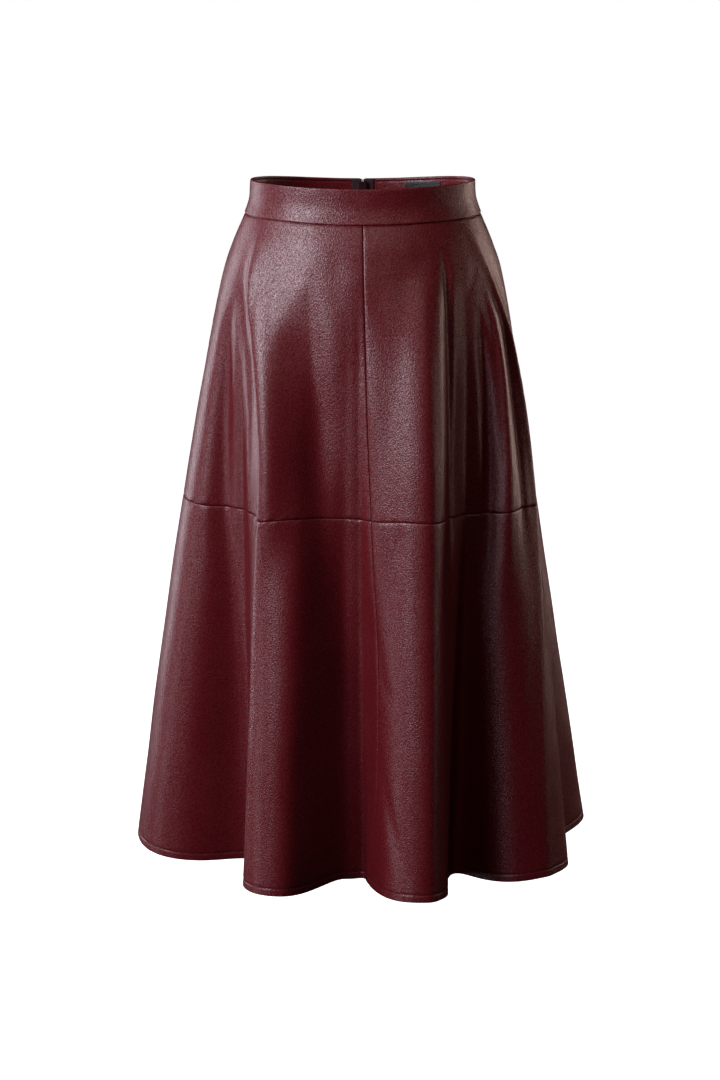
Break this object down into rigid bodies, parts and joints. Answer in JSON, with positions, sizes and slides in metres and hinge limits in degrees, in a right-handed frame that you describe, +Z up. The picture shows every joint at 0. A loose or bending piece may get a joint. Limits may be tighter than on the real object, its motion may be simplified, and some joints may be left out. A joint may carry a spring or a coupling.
{
  "type": "leather skirt",
  "caption": "Flared midi skirt in burgundy leather, with a waistband, two tiers of panels, folds that fall to the hem, and a zip at the centre back.",
  "frame": {"origin": "middle of the waistband, half way up it, where the wearer's waist holds the skirt", "axes": "+X to the wearer's left, -Y to the front, +Z up"},
  "size_m": [0.5499, 0.4817, 0.8064],
  "materials": {
    "leather": "fine-grained burgundy leather with a soft semi-gloss",
    "label_satin": "plain black satin ribbon",
    "zip_tape": "woven tape, dyed dark burgundy",
    "zip_coil": "moulded nylon, dyed dark burgundy",
    "zip_metal": "satin paint, dyed to match"
  },
  "bodies": {
    "skirt": {"waistband": "leather", "waistband_facing": "leather", "upper_front_left": "leather", "upper_front_right": "leather", "upper_back_left": "leather", "upper_back_right": "leather", "lower_front_left": "leather", "lower_front_right": "leather", "lower_back_left": "leather", "lower_back_right": "leather", "label": "label_satin", "zip_tape_left": "zip_tape", "zip_tape_right": "zip_tape", "zip_coil": "zip_coil", "zip_slider": "zip_metal"},
    "pull": {"zip_pull": "zip_metal"}
  },
  "joints": [
    {"name": "pull_swing", "type": "hinge", "parent": "skirt", "child": "pull", "pos_m": [0, 0.09573, 0.0063], "axis": [1, 0, 0], "range_deg": [0, 150]}
  ]
}
